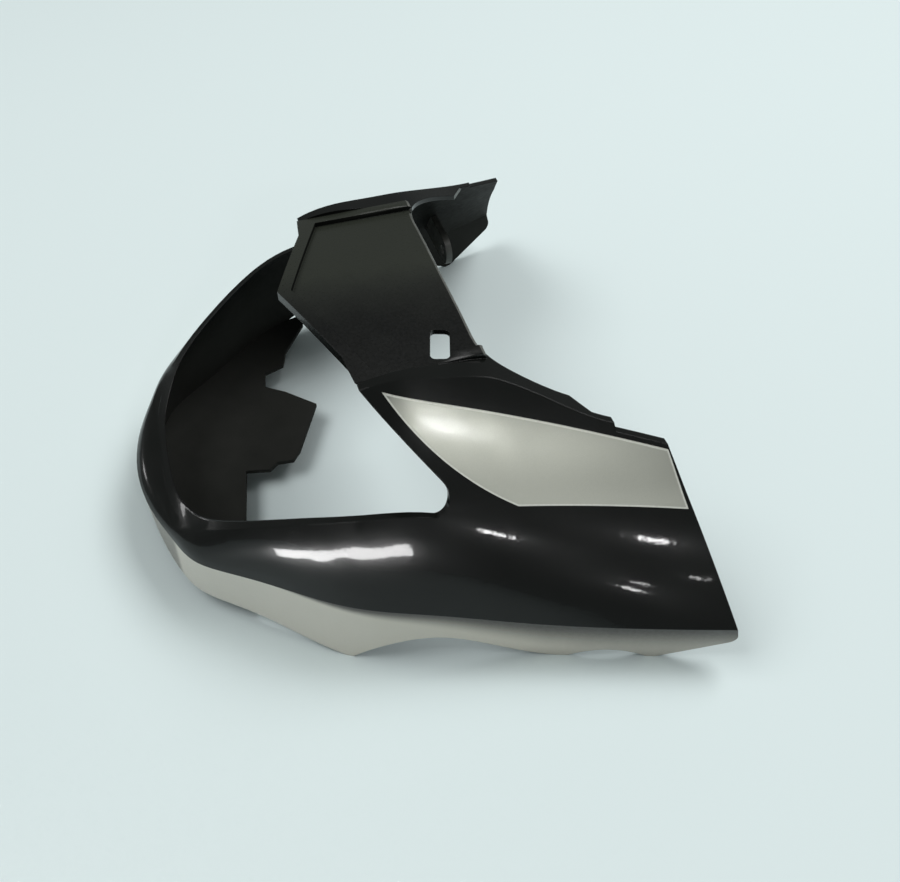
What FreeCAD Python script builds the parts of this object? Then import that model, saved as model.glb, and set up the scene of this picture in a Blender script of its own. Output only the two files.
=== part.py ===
import FreeCAD, Part
import math
import os

from FreeCAD import Vector

# Motorbike headlight visor: a one-piece moulded shell with a silver film on each side panel.
# X points to the rider's left, Y runs rearward and Z is up from the edge that the visor lies on.
# Y is counted from the chin below, and at the end the origin moves to the middle of the footprint.

# Wall and film
WALL = 2.6
FILM = 0.35
FILM_GLUE = 0.2

# Seat height, the rise of its nose, and how far above that the side walls' top rail lies
SEAT_HEIGHT = 128.5
NOSE_RISE = 6.0
RAIL_CLEAR = 15.5

# Rails of the left half, from the middle of the chin to the rear end: (x, y, z), then (x, y) of the top rail
CREASE = [(0, -6.5, 37), (30, -2, 37), (52, 6.5, 36.5), (70, 17, 36), (90, 43, 37.5), (119, 80, 41),
          (134, 120, 36.5), (153, 173.5, 30.5), (183, 262, 29)]
RIM = [(0, 7, 42), (27, 8, 42), (46, 12.5, 44), (62, 22.5, 51), (79, 46, 64.5), (99, 83, 79),
       (109.5, 120, 82), (118.5, 176, 82), (137.5, 262, 82)]
TOP_PLAN = [(0, 96), (15, 98), (26, 100), (34, 102.5), (40, 105.5),
            (45, 111), (50, 130), (50, 172), (62, 262)]

# How far the skirt's foot stands out from the crease at each station, and the crown of the walls above it
SKIRT_FLARE = [0, 0, 2, 1, 2, 3, 0, -1.6, -1.6]
BELLY_LOW = 2.0
BELLY_HIGH = 2.5

# Headlight opening: the chin's top edge follows the rim as far as this station, then the pillar rises
CHIN_STATIONS = 6
PILLAR_FOOT = (142, 81.5)
PILLAR_HEAD = (106, 125)
PILLAR_RADIUS = 8.0
NOSE = (0, 82.6)
KINK = (58, 106)

# Windscreen seat: its sunken floor lies between two ridges, behind a front rim
SEAT_REAR = 165.0
SEAT_DEPTH = 2.5
SEAT_HALF_WIDTH = 64.0
RIM_WIDTH = 6.0
SWEEP = [(0, 164), (40, 164), (62, 166.5), (73, 176), (85, 198)]
SLOT_CENTRE = (51, 147)
SLOT_SIZE = (21.5, 9)
SLOT_RADIUS = 2.5
SLOT_TURN = -17.0

# Side view of the ridges' top line (y, height above the seat) and of the panels' rear outline (y, z)
RIDGE = [(96, -6.5), (106, -1.5), (118, 0.8), (128, 1), (138, 0), (150, -1.2), (160, -2.3), (170, -5.2),
         (184, -11), (213, -22)]
PANEL_STEP = 3.0
PANEL_END = (235, 98)
PANEL_CORNER = (255.5, 18)
CORNER_RADIUS = 6.0
REAR_TOE = (221, 0)

# Hollows in the skirt's lower edge, seen from the side: (y, z) points
HOLLOWS = [[(-30, 9.5), (14, 9.5), (40, 7), (76, 0)],
           [(79, 0), (102, 14.5), (121, 16.5), (147, 8.5), (175, 0)],
           [(180, 0), (198, 6.5), (217, 0)]]

# Inner tray behind the chin (x, y); the stepped tab is on the rider's right
TRAY_Z = 10.0
TRAY_THICK = 2.5
TRAY_BACK = 42.0
TRAY_TAB = [(32, TRAY_BACK), (-3, 48), (0, 61), (-4, 66), (-3, 75), (-9, 80), (-43, 97), (-59, 81), (-67, 70),
            (-79, 72), (-83, 84), (-95, 88), (-118, 104)]

# Mounting lugs inside the panels
LUG_Y = 198.0
LUG_THICK = 4.0
LUG_INNER_X = 100.0
LUG_Z = (48.0, 66.0)
LUG_FLAT = 0.4
LUG_BORE_R = 3.25
LUG_BORE_X = 109.0

# Film outline in side view (y, z) and the bow of its lower front edge
FILM_TIP = (114, 126.5)
FILM_REAR_TOP = (234.5, 96.5)
FILM_REAR_LOW = (238.5, 76)
FILM_LOW = (163, 82)
FILM_BOW = (137, 99)

FAR = 400.0


def plan_normals(points):
    """Outward plan direction at each point of a left half outline."""
    full = [(-points[1][0], points[1][1])] + [p[:2] for p in points]
    normals = []
    for i in range(1, len(full)):
        before = full[i - 1]
        after = full[min(i + 1, len(full) - 1)]
        along = Vector(after[0] - before[0], after[1] - before[1], 0).normalize()
        normals.append(Vector(along.y, -along.x, 0))
    return normals


def wall_normal(low, high, plan_normal):
    """Outward direction of the wall that rises from one rail to the next."""
    along = Vector(-plan_normal.y, plan_normal.x, 0)
    return along.cross(high - low).normalize()


def mitre(first, second):
    """Shift of an edge when both faces that meet there move outward by one."""
    return (first + second) / (1 + first.dot(second))


def rails(inset, floor_z, end_y):
    """Left halves of the floor, crease, low belly, rim, high belly and top rails, moved in by the inset."""
    top_z = SEAT_HEIGHT + NOSE_RISE + RAIL_CLEAR
    stations = []
    for c, r, t, flare, n in zip(CREASE, RIM, TOP_PLAN, SKIRT_FLARE, plan_normals(CREASE)):
        crease = Vector(*c)
        rim = Vector(*r)
        top = Vector(*t, top_z)
        low = wall_normal(crease, rim, n)
        high = wall_normal(rim, top, n)
        stations.append([Vector(crease.x, crease.y, floor_z) + n * (flare - inset),
                         crease - mitre(n, low) * inset,
                         (crease + rim) / 2 + low * (BELLY_LOW - inset),
                         rim - mitre(low, high) * inset,
                         (rim + top) / 2 + high * (BELLY_HIGH - inset),
                         top - n * (inset / high.dot(n))])
    halves = [list(rail) for rail in zip(*stations)]
    for rail in halves:
        rail[0].x = 0
        rail[-1].y = end_y
    return halves


def closed_rail(half):
    """Both halves as one smooth curve, closed by a straight line across the rear."""
    points = [Vector(-p.x, p.y, p.z) for p in reversed(half[1:])] + half
    curve = Part.BSplineCurve()
    curve.interpolate(Points=points, Parameters=[float(i) for i in range(len(points))])
    return Part.Wire([curve.toShape(), Part.makeLine(points[-1], points[0])])


def dome(inset, floor_z, end_y):
    """Solid bounded by the skirt, the walls below and above the rim, and flat ends."""
    wires = [closed_rail(half) for half in rails(inset, floor_z, end_y)]
    skirt = Part.makeLoft(wires[:2], False, True)
    low = Part.makeLoft(wires[1:4], False, False)
    high = Part.makeLoft(wires[3:], False, False)
    faces = skirt.Faces + low.Faces + high.Faces + [Part.Face(wires[0]), Part.Face(wires[-1])]
    shell = Part.makeShell(faces)
    shell.sewShape()
    solid = Part.makeSolid(shell)
    if solid.Volume < 0:
        solid.reverse()
    return solid


def plan_prism(points):
    """Plan outline (x, y) carried from below the visor to above it."""
    loop = [Vector(x, y, -FAR) for x, y in points]
    return Part.Face(Part.makePolygon(loop + loop[:1])).extrude(Vector(0, 0, 2 * FAR))


def both_sides(half):
    """A plan outline that is open at the middle, with its mirror image."""
    return half + [(-x, y) for x, y in reversed(half) if x != 0]


def across(edges, points):
    """Side view edges joined up by straight lines through the points, carried right across the visor."""
    lines = [Part.makeLine(a, b) for a, b in zip(points, points[1:])]
    return Part.Face(Part.Wire(Part.__sortEdges__(edges + lines))).extrude(Vector(2 * FAR, 0, 0))


def smooth(points):
    """Smooth curve through the points."""
    curve = Part.BSplineCurve()
    curve.interpolate(points)
    return curve.toShape()


def rounded(corner, toward_first, toward_second, radius):
    """Tangent points and arc that round a corner between two lines."""
    first = (toward_first - corner).normalize()
    second = (toward_second - corner).normalize()
    half_angle = first.getAngle(second) / 2
    reach = radius / math.tan(half_angle)
    start = corner + first * reach
    end = corner + second * reach
    middle = corner + (first + second).normalize() * (radius / math.sin(half_angle) - radius)
    return start, Part.Arc(start, middle, end).toShape(), end


def above_seat(drop):
    """Everything above the crowned windscreen seat, lowered by the drop."""
    sections = []
    front = 2 * NOSE[1] - SEAT_REAR
    reach = SEAT_HALF_WIDTH + 2 * WALL
    for y in (front, SEAT_REAR):
        crown = NOSE_RISE * (SEAT_REAR - y) / (SEAT_REAR - NOSE[1])
        edge_z = SEAT_HEIGHT - drop - crown * ((reach / KINK[0]) ** 2 - 1)
        left = Vector(reach, y, edge_z)
        right = Vector(-reach, y, edge_z)
        if crown:
            low = Part.Arc(left, Vector(0, y, SEAT_HEIGHT - drop + crown), right).toShape()
        else:
            low = Part.makeLine(left, right)
        high_left = Vector(reach, y, FAR)
        high_right = Vector(-reach, y, FAR)
        sections.append(Part.Wire([low, Part.makeLine(right, high_right),
                                   Part.makeLine(high_right, high_left), Part.makeLine(high_left, left)]))
    return Part.makeLoft(sections, True, True)


def seat_band(grow):
    """The strip between the ridges, from ahead of the nose to the seat's rear."""
    half = SEAT_HALF_WIDTH + grow
    return plan_prism([(half, -FAR), (half, SEAT_REAR), (-half, SEAT_REAR), (-half, -FAR)])


def above_ridges(drop):
    """Everything above the ridges' top line and the stepped top edge of the panels behind them."""
    line = [Vector(-FAR, y, SEAT_HEIGHT + rise - drop) for y, rise in RIDGE]
    step = line[-1] - Vector(0, 0, PANEL_STEP)
    end = Vector(-FAR, PANEL_END[0], PANEL_END[1] - drop)
    around = [line[-1], step, end, Vector(-FAR, FAR, end.z), Vector(-FAR, FAR, FAR),
              Vector(-FAR, line[0].y, FAR), line[0]]
    return across([smooth(line)], around).cut(seat_band(drop))


def above_floor():
    """Everything above the sunken floor behind the seat's front rim."""
    back = RIM_WIDTH * math.hypot(KINK[0], KINK[1] - NOSE[1]) / KINK[0]
    plan = [(x, y + back) for x, y in (NOSE, KINK)] + [(KINK[0], FAR)]
    return plan_prism(both_sides(plan)).common(seat_band(0)).common(above_seat(SEAT_DEPTH))


def behind_seat():
    """Everything behind the seat's swept rear edge."""
    line = [Vector(-x, y, -FAR) for x, y in reversed(SWEEP[1:])] + [Vector(x, y, -FAR) for x, y in SWEEP]
    around = [line[-1], Vector(FAR, FAR, -FAR), Vector(-FAR, FAR, -FAR), line[0]]
    lines = [Part.makeLine(a, b) for a, b in zip(around, around[1:])]
    return Part.Face(Part.Wire([smooth(line)] + lines)).extrude(Vector(0, 0, 2 * FAR))


def headlight_opening():
    """Above the chin's top edge, ahead of the pillars and ahead of the seat's front edge."""
    chin = [Vector(-FAR, y, z) for x, y, z in RIM[1:CHIN_STATIONS]]
    foot = Vector(-FAR, *PILLAR_FOOT)
    head = Vector(-FAR, *PILLAR_HEAD)
    start, arc, end = rounded(foot, chin[-1], head, PILLAR_RADIUS)
    beyond = head + (head - foot)
    around = [end, beyond, Vector(-FAR, beyond.y, FAR), Vector(-FAR, -FAR, FAR),
              Vector(-FAR, -FAR, chin[0].z), chin[0]]
    over_chin = across([smooth(chin + [start]), arc], around)
    ahead = plan_prism(both_sides([NOSE, KINK, (KINK[0], FAR), (FAR, FAR), (FAR, -FAR)]))
    return over_chin.common(ahead)


def rear_outline():
    """Everything behind the panels' rear edge and its rounded lower corner."""
    top = Vector(-FAR, *PANEL_END)
    toe = Vector(-FAR, *REAR_TOE)
    start, arc, end = rounded(Vector(-FAR, *PANEL_CORNER), toe, top, CORNER_RADIUS)
    around = [end, top, Vector(-FAR, top.y, FAR), Vector(-FAR, FAR, FAR), Vector(-FAR, FAR, -FAR),
              Vector(-FAR, toe.y, -FAR), toe, start]
    return across([arc], around)


def skirt_hollow(line):
    """Everything below one raised stretch of the skirt's lower edge."""
    points = [Vector(-FAR, y, z) for y, z in line]
    low_end = Vector(-FAR, points[-1].y, -FAR)
    low_start = Vector(-FAR, points[0].y, -FAR)
    return across([smooth(points)], [points[-1], low_end, low_start, points[0]])


def seat_slot():
    """Rounded slot that goes down through the seat."""
    length, width = SLOT_SIZE
    block = Part.makeBox(length, width, FAR, Vector(-length / 2, -width / 2, 0))
    block = block.makeFillet(SLOT_RADIUS, [e for e in block.Edges if e.BoundBox.ZLength > length])
    block.rotate(Vector(), Vector(0, 0, 1), SLOT_TURN)
    block.translate(Vector(SLOT_CENTRE[0], SLOT_CENTRE[1], SEAT_HEIGHT / 2))
    return block


def tray(hollow):
    """Flat floor behind the chin, cut to the inside of the walls."""
    plan = [(FAR, TRAY_BACK)] + TRAY_TAB + [(-FAR, TRAY_TAB[-1][1]), (-FAR, -FAR), (FAR, -FAR)]
    slab = plan_prism(plan).common(Part.makeBox(2 * FAR, 2 * FAR, TRAY_THICK, Vector(-FAR, -FAR, TRAY_Z)))
    return slab.common(hollow)


def lug(side, hollow):
    """Mounting lug that reaches inward from one panel, with its bore along Y."""
    low, high = LUG_Z
    plate = Part.makeBox(FAR, LUG_THICK, high - low, Vector(LUG_INNER_X, LUG_Y, low))
    tip_edges = [e for e in plate.Edges
                 if e.BoundBox.YLength > LUG_THICK / 2 and e.BoundBox.XMax < LUG_INNER_X + LUG_THICK]
    plate = plate.makeFillet((high - low - LUG_FLAT) / 2, tip_edges)
    bore_z = (low + high) / 2
    bore = Part.makeCylinder(LUG_BORE_R, FAR, Vector(LUG_BORE_X, 0, bore_z), Vector(0, 1, 0))
    plate = plate.cut(bore)
    if side < 0:
        plate = plate.mirror(Vector(), Vector(1, 0, 0))
    return plate.common(hollow)


def film_prism(side):
    """The film's outline in side view, carried out to one side."""
    corners = [Vector(0, y, z) for y, z in (FILM_TIP, FILM_REAR_TOP, FILM_REAR_LOW, FILM_LOW)]
    lines = [Part.makeLine(a, b) for a, b in zip(corners, corners[1:])]
    bow = Part.Arc(corners[-1], Vector(0, *FILM_BOW), corners[0]).toShape()
    return Part.Face(Part.Wire(lines + [bow])).extrude(Vector(side * FAR, 0, 0))


os.makedirs("parts", exist_ok=True)

end_y = CREASE[-1][1]
outer = dome(0, 0, end_y)
hollow = dome(WALL, -1, end_y + 1)
glue_face = dome(-FILM_GLUE, 0, end_y)
film_face = dome(-FILM_GLUE - FILM, 0, end_y)

body = outer.cut(above_ridges(0)).cut(above_seat(0).common(seat_band(0))).cut(above_floor())
inside = hollow.cut(above_ridges(WALL)).cut(above_seat(SEAT_DEPTH + WALL).common(seat_band(WALL)))
shell = body.cut(inside).cut(behind_seat().common(hollow))
for cutter in [headlight_opening(), rear_outline(), seat_slot()] + [skirt_hollow(line) for line in HOLLOWS]:
    shell = shell.cut(cutter)
shell = shell.fuse([tray(hollow), lug(1, hollow), lug(-1, hollow)]).removeSplitter()
film = film_face.cut(glue_face)

box = shell.optimalBoundingBox(True, False)
to_origin = Vector(0, -(box.YMin + box.YMax) / 2, -box.ZMin)
nodes = {
    "visor_shell": shell,
    "left_decal": film.common(film_prism(1)),
    "right_decal": film.common(film_prism(-1)),
}
for name, shape in nodes.items():
    shape.translate(to_origin)
    shape.exportStep("parts/" + name + ".step")
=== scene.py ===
import math

import bmesh
import bpy
from mathutils import Matrix, Vector


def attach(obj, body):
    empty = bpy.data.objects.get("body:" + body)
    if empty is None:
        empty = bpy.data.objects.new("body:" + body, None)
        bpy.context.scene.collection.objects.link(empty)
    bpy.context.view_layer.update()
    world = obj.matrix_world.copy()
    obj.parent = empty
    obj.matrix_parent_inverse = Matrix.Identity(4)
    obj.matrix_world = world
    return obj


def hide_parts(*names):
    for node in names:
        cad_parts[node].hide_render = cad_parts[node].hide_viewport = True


# Looks of a motorbike headlight visor: gloss black shell, satin windscreen seat, silver side films.
# Metres and watts, in the part's own frame: X to the rider's left, Y rearward, Z up from the floor.

CAMERA_PLACE = Vector((0.3445, -0.0665, 0.4033))
CAMERA_AIM = Vector((-0.6358, 0.2043, -0.7443))
CAMERA_LENS = 36.0
SENSOR_WIDTH = 36.0

FLOOR_COLOUR = (0.76, 0.86, 0.86, 1)
FLOOR_SIZE = 6.0
WORLD_COLOUR = (0.9, 0.95, 0.95, 1)
WORLD_STRENGTH = 0.22

# Zones of the shell, in the order of its materials.
GLOSS, SEAT, SKIRT, INSIDE, LUG, LIP = range(6)

# What tells the zones apart: heights, widths, and how far a surface faces up or away from the middle.
SEAT_LOW = 0.119
SEAT_HALF_WIDTH = 0.066
SEAT_REAR = 0.06
SEAT_FACES_UP = 0.9
SKIRT_TOP = 0.045
SKIRT_LEANS = 0.1
SKIRT_FACES_OUT = 0.3
TRAY_TOP = 0.013
INSIDE_TILT = 0.3
INSIDE_FACES_OUT = -0.05
LUG_SPAN = (0.073, 0.079)
LUG_AREA = 0.001
WALL_CENTRE = Vector((0, 0.03, 0))

# Painted shade on the skirt's strip: it is dark under the crease and fades to its own colour over a depth
# that grows rearward.
CREASE_SPAN = (-0.05, 0.06)
CREASE_HEIGHT = (0.0405, 0.0297)
FADE_SPAN = (-0.07, 0.07)
FADE_DEPTH = (0.003, 0.024)
PAINTED_SHADE_DARKEST = 0.08
# The painted shade also darkens the strip on the chin's front, as far as these widths.
CHIN_HALF_WIDTH = (0.05, 0.056)
CHIN_PAINTED_SHADE = 0.42

WELD_DISTANCE = 1e-5
SMOOTH_ANGLE = math.radians(20)
EDGE_ROUND = 0.0006
EDGE_SAMPLES = 4
LIP_WIDTH = 0.0016
LIP_STEPS = 3
LIP_FRONT = 0.03
LIP_FACES_BACK = 0.7

FILM_BORDER = 0.0008
FILM_LEAN = (0.75, 0.66)
FILM_FACES_OUT = 0.8
FILM_BORDER_MATERIAL = 1

# Lamps that light the whole part: name, place, aim, size and power.
MIDDLE = (0, 0, 0.06)
SOFTBOX_SIZE = (1.6, 1.2)
LAMPS = [
    ("rear_softbox", (-0.4, 1.3, 2.2), MIDDLE, SOFTBOX_SIZE, 38),
    ("front_softbox", (-0.4, -1.3, 2.2), MIDDLE, SOFTBOX_SIZE, 22),
    ("flash", (0.74, 0.05, 0.575), (0.09, 0.01, 0.105), (0.07, 0.035), 0.32),
]

# Lamps that show only as highlights: small ones, and a tube for the chin.
SPARKS = [
    ("spark_low", (0.699, -0.003, 0.243), (0.124, 0.03, 0.07), (0.014, 0.014), 0.06),
    ("spark_high", (0.696, 0.113, 0.302), (0.146, 0.1, 0.063), (0.014, 0.01), 0.05),
    ("spark_near", (0.744, 0.048, 0.145), (0.152, 0.078, 0.046), (0.014, 0.005), 0.02),
    ("spark_mid", (0.742, 0.06, 0.169), (0.154, 0.09, 0.049), (0.008, 0.005), 0.008),
    ("spark_rear", (0.741, 0.112, 0.213), (0.165, 0.118, 0.045), (0.008, 0.005), 0.008),
    ("spark_chin", (-0.301, -0.457, 0.169), (0.039, -0.112, 0.044), (0.06, 0.03), 0.06),
]
TUBE_POINTS = [(0.185, -0.275, 0.018), (0.266, -0.178, 0.083), (0.348, -0.055, 0.1)]
TUBE_AIM = (0.105, -0.045, 0.066)
TUBE_WIDTH = 0.024
TUBE_POWER_PER_METRE = 3.2

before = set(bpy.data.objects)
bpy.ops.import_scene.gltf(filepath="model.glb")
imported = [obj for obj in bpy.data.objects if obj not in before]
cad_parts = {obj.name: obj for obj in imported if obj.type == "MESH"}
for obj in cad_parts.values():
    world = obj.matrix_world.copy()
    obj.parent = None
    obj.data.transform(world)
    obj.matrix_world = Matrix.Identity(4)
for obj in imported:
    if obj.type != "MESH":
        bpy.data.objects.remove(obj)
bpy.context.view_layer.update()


class Finish:
    """A material in the making, with textures placed in metres on the part."""

    def __init__(self, name):
        self.material = bpy.data.materials.new(name)
        self.material.use_nodes = True
        self.nodes = self.material.node_tree.nodes
        self.links = self.material.node_tree.links
        self.shader = self.nodes["Principled BSDF"]
        self.place = self.nodes.new("ShaderNodeTexCoord").outputs["Object"]

    def feed(self, socket, value):
        """Link a socket to another node's output, or give it a plain value."""
        if isinstance(value, bpy.types.NodeSocket):
            self.links.new(value, socket)
        else:
            socket.default_value = value

    def set(self, name, value):
        """Feed one of the shader's inputs."""
        self.feed(self.shader.inputs[name], value)

    def axis(self, name):
        """One coordinate, X, Y or Z."""
        parts = self.nodes.new("ShaderNodeSeparateXYZ")
        self.links.new(self.place, parts.inputs["Vector"])
        return parts.outputs[name]

    def noise(self, scale, detail, rough=0.5):
        """A noise texture's value, with so many grains to the metre."""
        texture = self.nodes.new("ShaderNodeTexNoise")
        texture.inputs["Scale"].default_value = scale
        texture.inputs["Detail"].default_value = detail
        texture.inputs["Roughness"].default_value = rough
        self.links.new(self.place, texture.inputs["Vector"])
        return texture.outputs["Fac"]

    def calculate(self, operation, *values):
        """A calculation with outputs and numbers."""
        node = self.nodes.new("ShaderNodeMath")
        node.operation = operation
        for socket, value in zip(node.inputs, values):
            self.feed(socket, value)
        return node.outputs["Value"]

    def blotched(self, value, blotches, share):
        """A value with a share of noise added."""
        return self.calculate("MULTIPLY_ADD", blotches, share, value)

    def spread(self, value, span, result):
        """A value taken smoothly from one range to another."""
        ranged = self.nodes.new("ShaderNodeMapRange")
        ranged.interpolation_type = "SMOOTHSTEP"
        for name, number in zip(("From Min", "From Max", "To Min", "To Max"), span + result):
            ranged.inputs[name].default_value = number
        self.links.new(value, ranged.inputs["Value"])
        return ranged.outputs["Result"]

    def ramp(self, value, *stops):
        """Colours along a value from 0 to 1."""
        colours = self.nodes.new("ShaderNodeValToRGB")
        elements = colours.color_ramp.elements
        while len(elements) < len(stops):
            elements.new(0.5)
        for element, (at, colour) in zip(elements, stops):
            element.position = at
            element.color = colour + (1,)
        self.links.new(value, colours.inputs["Fac"])
        return colours.outputs["Color"]

    def shaded(self, colour, factor):
        """A colour times a factor."""
        scaled = self.nodes.new("ShaderNodeVectorMath")
        scaled.operation = "SCALE"
        self.links.new(colour, scaled.inputs["Vector"])
        self.links.new(factor, scaled.inputs["Scale"])
        return scaled.outputs["Vector"]

    def relief(self, height, strength, distance):
        """Fine relief over edges that are rounded as a moulding's are."""
        rounded = self.nodes.new("ShaderNodeBevel")
        rounded.samples = EDGE_SAMPLES
        rounded.inputs["Radius"].default_value = EDGE_ROUND
        bump = self.nodes.new("ShaderNodeBump")
        bump.inputs["Strength"].default_value = strength
        bump.inputs["Distance"].default_value = distance
        self.links.new(height, bump.inputs["Height"])
        self.links.new(rounded.outputs["Normal"], bump.inputs["Normal"])
        self.set("Normal", bump.outputs["Normal"])
        self.set("Coat Normal", bump.outputs["Normal"])


def gloss_black():
    """Painted outside: hazy deep black under a thin clear coat, with faint orange peel and dust."""
    finish = Finish("gloss_black")
    mottle = finish.noise(scale=40, detail=4)
    dust = finish.noise(scale=1400, detail=3, rough=0.7)
    orange_peel = finish.noise(scale=260, detail=1)
    colour = finish.ramp(mottle,
                         (0.3, (0.0035, 0.0042, 0.0035)),
                         (0.7, (0.006, 0.0068, 0.006)))
    finish.set("Base Color", colour)
    finish.set("Roughness", finish.spread(dust, span=(0.62, 0.78), result=(0.21, 0.36)))
    finish.set("Specular IOR Level", 0.12)
    finish.set("Coat Weight", 0.32)
    finish.set("Coat Roughness", 0.05)
    finish.relief(orange_peel, strength=0.05, distance=0.0004)
    return finish.material


def satin_seat():
    """Seat of the windscreen: scuffed satin, greyer toward the rider's right, where a reflection of light
    is painted in.
    """
    finish = Finish("satin_seat")
    # Painted reflection: the satin's colour is lighter toward the rider's right as if light reflected
    # there.
    painted_reflection_across = finish.spread(finish.axis("X"), span=(-0.03, 0.035), result=(1.0, 0.0))
    blotches = finish.noise(scale=55, detail=4, rough=0.6)
    scuffs = finish.noise(scale=700, detail=4, rough=0.65)
    grain = finish.noise(scale=1500, detail=3)
    colour = finish.ramp(finish.blotched(painted_reflection_across, blotches, share=0.35),
                         (0.15, (0.003, 0.0035, 0.003)),
                         (0.6, (0.013, 0.0145, 0.012)),
                         (1.0, (0.023, 0.026, 0.02)))
    finish.set("Base Color", colour)
    finish.set("Roughness", finish.spread(scuffs, span=(0.35, 0.75), result=(0.27, 0.37)))
    finish.set("Specular IOR Level", 0.22)
    finish.relief(grain, strength=0.05, distance=0.0002)
    return finish.material


def strip_painted_shade(finish):
    """How much of its own colour the strip shows under painted shade, from the crease down and on the
    chin's front.
    """
    crease = finish.spread(finish.axis("Y"), CREASE_SPAN, CREASE_HEIGHT)
    below = finish.calculate("SUBTRACT", crease, finish.axis("Z"))
    reach = finish.spread(finish.axis("Y"), FADE_SPAN, FADE_DEPTH)
    depth = finish.calculate("DIVIDE", below, reach)
    painted_crease_shade = finish.spread(depth, span=(0.0, 1.0), result=(PAINTED_SHADE_DARKEST, 1.0))
    sideways = finish.calculate("ABSOLUTE", finish.axis("X"))
    painted_chin_shade = finish.spread(sideways, CHIN_HALF_WIDTH, result=(CHIN_PAINTED_SHADE, 1.0))
    return finish.calculate("MULTIPLY", painted_chin_shade, painted_crease_shade)


def satin_skirt():
    """Lower strip: satin light grey with soft smudges, a little darker at the rear end."""
    finish = Finish("satin_skirt")
    rearward = finish.spread(finish.axis("Y"), span=(-0.13, 0.13), result=(0.0, 1.0))
    smudges = finish.noise(scale=70, detail=4, rough=0.6)
    scuffs = finish.noise(scale=500, detail=4, rough=0.65)
    waves = finish.noise(scale=160, detail=3)
    colour = finish.ramp(finish.blotched(rearward, smudges, share=0.2),
                         (0.1, (0.66, 0.64, 0.57)),
                         (0.45, (0.64, 0.61, 0.53)),
                         (0.8, (0.64, 0.6, 0.52)),
                         (1.0, (0.5, 0.475, 0.42)))
    # The strip's colour is darkened here by painted shade under the crease and on the chin's front.
    finish.set("Base Color", finish.shaded(colour, strip_painted_shade(finish)))
    finish.set("Roughness", finish.spread(scuffs, span=(0.3, 0.7), result=(0.38, 0.55)))
    finish.relief(waves, strength=0.1, distance=0.0005)
    return finish.material


def raw_plastic():
    """Unpainted inside: dull black with a fine moulded grain, greyer low down."""
    finish = Finish("raw_plastic")
    upward = finish.spread(finish.axis("Z"), span=(0.02, 0.08), result=(0.0, 0.7))
    mottle = finish.noise(scale=60, detail=4)
    patches = finish.noise(scale=300, detail=3)
    grain = finish.noise(scale=2200, detail=2)
    colour = finish.ramp(finish.blotched(upward, mottle, share=0.4),
                         (0.1, (0.032, 0.033, 0.03)),
                         (0.9, (0.009, 0.0098, 0.0088)))
    finish.set("Base Color", colour)
    finish.set("Roughness", finish.spread(patches, span=(0.3, 0.7), result=(0.44, 0.52)))
    finish.set("Specular IOR Level", 0.02)
    finish.relief(grain, strength=0.1, distance=0.0002)
    return finish.material


def lug_plastic():
    """Mounting lugs: plastic whose grey, paler in places, is a painted highlight where the lugs catch the
    light.
    """
    finish = Finish("lug_plastic")
    mottle = finish.noise(scale=120, detail=4)
    patches = finish.noise(scale=400, detail=3)
    grain = finish.noise(scale=1800, detail=2)
    # Painted highlight: the grey stands in for light falling on the lugs.
    colour = finish.ramp(mottle,
                         (0.3, (0.045, 0.048, 0.042)),
                         (0.7, (0.09, 0.093, 0.084)))
    finish.set("Base Color", colour)
    finish.set("Roughness", finish.spread(patches, span=(0.3, 0.7), result=(0.4, 0.55)))
    finish.relief(grain, strength=0.1, distance=0.0002)
    return finish.material


def lip_painted_highlight():
    """Rear lip of the seat, where the satin is painted paler as a highlight along the rounded edge."""
    finish = Finish("lip_painted_highlight")
    highlight_mottle = finish.noise(scale=150, detail=4, rough=0.6)
    patches = finish.noise(scale=800, detail=3)
    grain = finish.noise(scale=1500, detail=3)
    # The paler grey is a painted highlight on the lip, not the satin's own colour.
    colour = finish.ramp(highlight_mottle,
                         (0.3, (0.055, 0.058, 0.05)),
                         (0.7, (0.12, 0.123, 0.11)))
    finish.set("Base Color", colour)
    finish.set("Roughness", finish.spread(patches, span=(0.3, 0.7), result=(0.3, 0.45)))
    finish.relief(grain, strength=0.05, distance=0.0002)
    return finish.material


def silver_film():
    """Printed metallic film with a fine sparkle, under a clear coat."""
    finish = Finish("silver_film")
    sparkle = finish.noise(scale=5000, detail=2, rough=0.7)
    clouds = finish.noise(scale=45, detail=3)
    grain = finish.noise(scale=3000, detail=2)
    colour = finish.ramp(sparkle,
                         (0.25, (0.35, 0.36, 0.315)),
                         (0.75, (0.47, 0.48, 0.42)))
    finish.set("Base Color", colour)
    finish.set("Metallic", 0.95)
    finish.set("Roughness", finish.spread(clouds, span=(0.3, 0.7), result=(0.29, 0.33)))
    finish.set("Coat Weight", 0.6)
    finish.set("Coat Roughness", 0.08)
    finish.relief(grain, strength=0.06, distance=0.0002)
    return finish.material


def film_edge():
    """Paler border of the film."""
    finish = Finish("film_edge")
    grain = finish.noise(scale=900, detail=3)
    colour = finish.ramp(grain,
                         (0.3, (0.56, 0.57, 0.51)),
                         (0.7, (0.66, 0.67, 0.61)))
    finish.set("Base Color", colour)
    finish.set("Metallic", 0.3)
    finish.set("Roughness", 0.35)
    return finish.material


def islands(work):
    """The faces of each surface of the solid, which share no vertices with the next one's."""
    left = set(work.faces)
    while left:
        patch = [left.pop()]
        for face in patch:
            near = {other for edge in face.edges for other in edge.link_faces} & left
            left -= near
            patch.extend(near)
        yield patch


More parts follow.
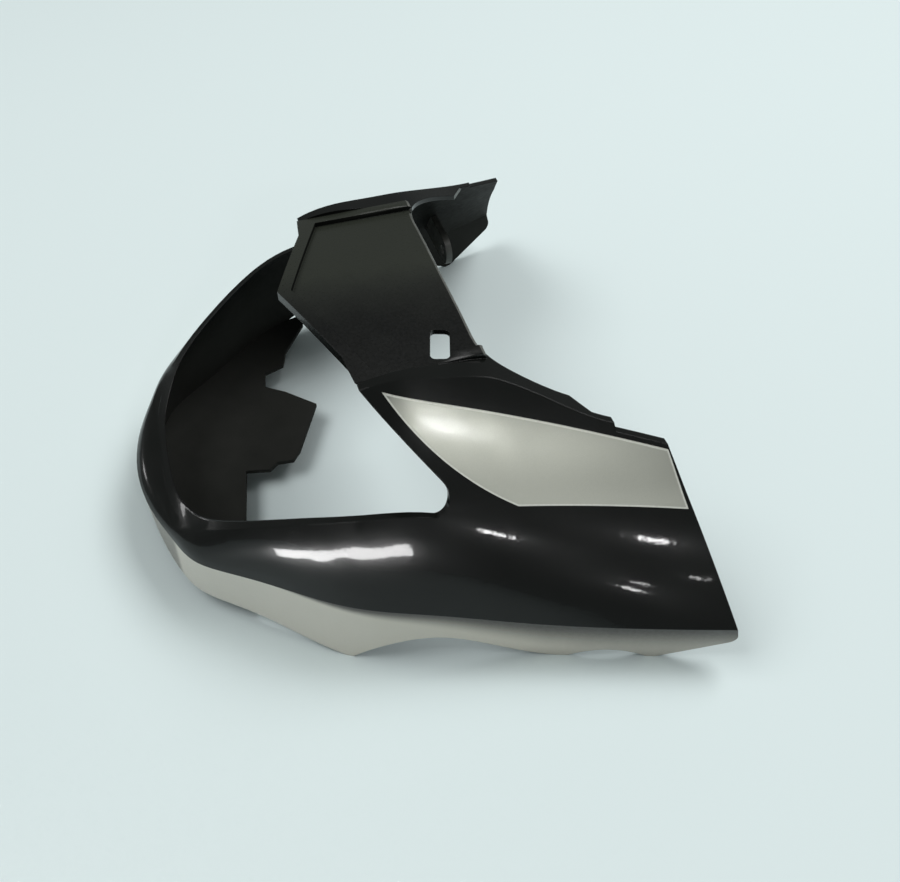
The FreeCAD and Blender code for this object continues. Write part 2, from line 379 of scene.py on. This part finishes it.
def zone(patch):
    """The finish that a surface of the shell takes."""
    area = sum(face.calc_area() for face in patch)
    centre = sum((face.calc_center_median() * face.calc_area() for face in patch), Vector()) / area
    normal = sum((face.normal * face.calc_area() for face in patch), Vector()) / area
    outward = 0
    for face in patch:
        away = (face.calc_center_median() - WALL_CENTRE).to_2d().normalized()
        outward += away.dot(face.normal.to_2d()) * face.calc_area() / area
    heights = [vertex.co.z for face in patch for vertex in face.verts]
    within_seat = abs(centre.x) < SEAT_HALF_WIDTH and centre.y < SEAT_REAR
    faces_in = normal.z < INSIDE_TILT and outward < INSIDE_FACES_OUT
    if LUG_SPAN[0] < centre.y < LUG_SPAN[1] and area < LUG_AREA:
        return LUG
    if normal.z > SEAT_FACES_UP and min(heights) > SEAT_LOW and within_seat:
        return SEAT
    if normal.z < -INSIDE_TILT or max(heights) < TRAY_TOP or faces_in:
        return INSIDE
    if abs(normal.z) < SKIRT_LEANS and max(heights) < SKIRT_TOP and outward > SKIRT_FACES_OUT:
        return SKIRT
    return GLOSS


def copied(node_name, name):
    """A new piece with a copy of a node's mesh, and that mesh to edit."""
    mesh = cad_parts[node_name].data.copy()
    mesh.materials.clear()
    piece = bpy.data.objects.new(name, mesh)
    bpy.context.collection.objects.link(piece)
    work = bmesh.new()
    work.from_mesh(mesh)
    work.normal_update()
    return piece, work


def weld(work):
    """Join the surfaces at their edges, sharp only where they turn or the finish changes."""
    bmesh.ops.remove_doubles(work, verts=work.verts, dist=WELD_DISTANCE)
    work.normal_update()
    for edge in work.edges:
        if len(edge.link_faces) == 2:
            apart = edge.link_faces[0].material_index != edge.link_faces[1].material_index
            edge.smooth = edge.calc_face_angle() < SMOOTH_ANGLE and not apart


def keep(piece, work, node_name, materials):
    """Give the piece its mesh and materials, in place of a node."""
    for material in materials:
        piece.data.materials.append(material)
    for face in work.faces:
        face.smooth = True
    work.to_mesh(piece.data)
    work.free()
    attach(piece, "root")
    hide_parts(node_name)


def round_lip(work):
    """Round the rear edge of the seat."""
    rear = []
    for edge in work.edges:
        seat = [face for face in edge.link_faces if face.material_index == SEAT]
        others = [face for face in edge.link_faces if face.material_index != SEAT]
        back = [face for face in others if face.normal.y > LIP_FACES_BACK]
        if seat and back and min(vertex.co.y for vertex in edge.verts) > LIP_FRONT:
            rear.append(edge)
    rounded = bmesh.ops.bevel(work, geom=rear, offset=LIP_WIDTH, segments=LIP_STEPS, profile=0.5,
                              affect="EDGES", clamp_overlap=False)
    for face in rounded["faces"]:
        face.material_index = LIP


def shell_piece():
    """The shell, with a finish for each of its surfaces."""
    piece, work = copied("visor_shell", "shell_skin")
    for patch in list(islands(work)):
        number = zone(patch)
        for face in patch:
            face.material_index = number
    weld(work)
    round_lip(work)
    materials = [gloss_black(), satin_seat(), satin_skirt(), raw_plastic(), lug_plastic(), lip_painted_highlight()]
    keep(piece, work, "visor_shell", materials)


def film_piece(node_name, name, side, materials):
    """A side film with its paler border; side is 1 on the left and -1 on the right."""
    piece, work = copied(node_name, name)
    weld(work)
    outward = Vector((side * FILM_LEAN[0], 0, FILM_LEAN[1]))
    face_up = [face for face in work.faces if face.normal.dot(outward) > FILM_FACES_OUT]
    border = bmesh.ops.inset_region(work, faces=face_up, thickness=FILM_BORDER, use_even_offset=True)
    for face in border["faces"]:
        face.material_index = FILM_BORDER_MATERIAL
    keep(piece, work, node_name, materials)


def add_floor():
    """A plain pale floor."""
    bpy.ops.mesh.primitive_plane_add(size=FLOOR_SIZE)
    floor = bpy.context.object
    floor.name = "floor"
    finish = Finish("floor_paper")
    finish.set("Base Color", FLOOR_COLOUR)
    finish.set("Roughness", 0.9)
    finish.set("Specular IOR Level", 0.1)
    floor.data.materials.append(finish.material)


def add_world():
    """Even pale light from all round."""
    world = bpy.data.worlds.new("studio")
    world.use_nodes = True
    background = world.node_tree.nodes["Background"]
    background.inputs["Color"].default_value = WORLD_COLOUR
    background.inputs["Strength"].default_value = WORLD_STRENGTH
    bpy.context.scene.world = world


def area_light(name, place, aim, size, power, glint=False):
    """A flat lamp; a glint lights no matt surface and shows only as a highlight."""
    lamp = bpy.data.lights.new(name, "AREA")
    lamp.shape = "RECTANGLE"
    lamp.size, lamp.size_y = size
    lamp.energy = power
    light = bpy.data.objects.new(name, lamp)
    light.location = place
    light.rotation_euler = (Vector(aim) - Vector(place)).to_track_quat("-Z", "Y").to_euler()
    light.visible_camera = False
    light.visible_diffuse = not glint
    bpy.context.collection.objects.link(light)
    return light


def strip_light(name, points, aim, width, power_per_metre):
    """A narrow tube through some points, turned to face another, that shows only as a highlight."""
    points = [Vector(point) for point in points]
    for number, (start, end) in enumerate(zip(points, points[1:])):
        middle = (start + end) / 2
        length = (end - start).length
        size = (length, width)
        light = area_light(f"{name}_{number}", middle, aim, size, power_per_metre * length, glint=True)
        long_axis = (end - start).normalized()
        back = middle - Vector(aim)
        back = (back - long_axis * back.dot(long_axis)).normalized()
        light.rotation_euler = Matrix((long_axis, back.cross(long_axis), back)).transposed().to_euler()


def add_camera():
    """The photograph's view."""
    data = bpy.data.cameras.new("photo_view")
    data.lens = CAMERA_LENS
    data.sensor_width = SENSOR_WIDTH
    camera = bpy.data.objects.new("photo_view", data)
    camera.location = CAMERA_PLACE
    camera.rotation_euler = CAMERA_AIM.to_track_quat("-Z", "Y").to_euler()
    bpy.context.collection.objects.link(camera)
    bpy.context.scene.camera = camera


shell_piece()
film_materials = [silver_film(), film_edge()]
film_piece("left_decal", "left_film", 1, film_materials)
film_piece("right_decal", "right_film", -1, film_materials)
add_floor()
add_world()
for lamp in LAMPS:
    area_light(*lamp)
strip_light("chin_tube", TUBE_POINTS, TUBE_AIM, TUBE_WIDTH, TUBE_POWER_PER_METRE)
for spark in SPARKS:
    area_light(*spark, glint=True)
add_camera()
bpy.context.scene.view_settings.view_transform = "Standard"
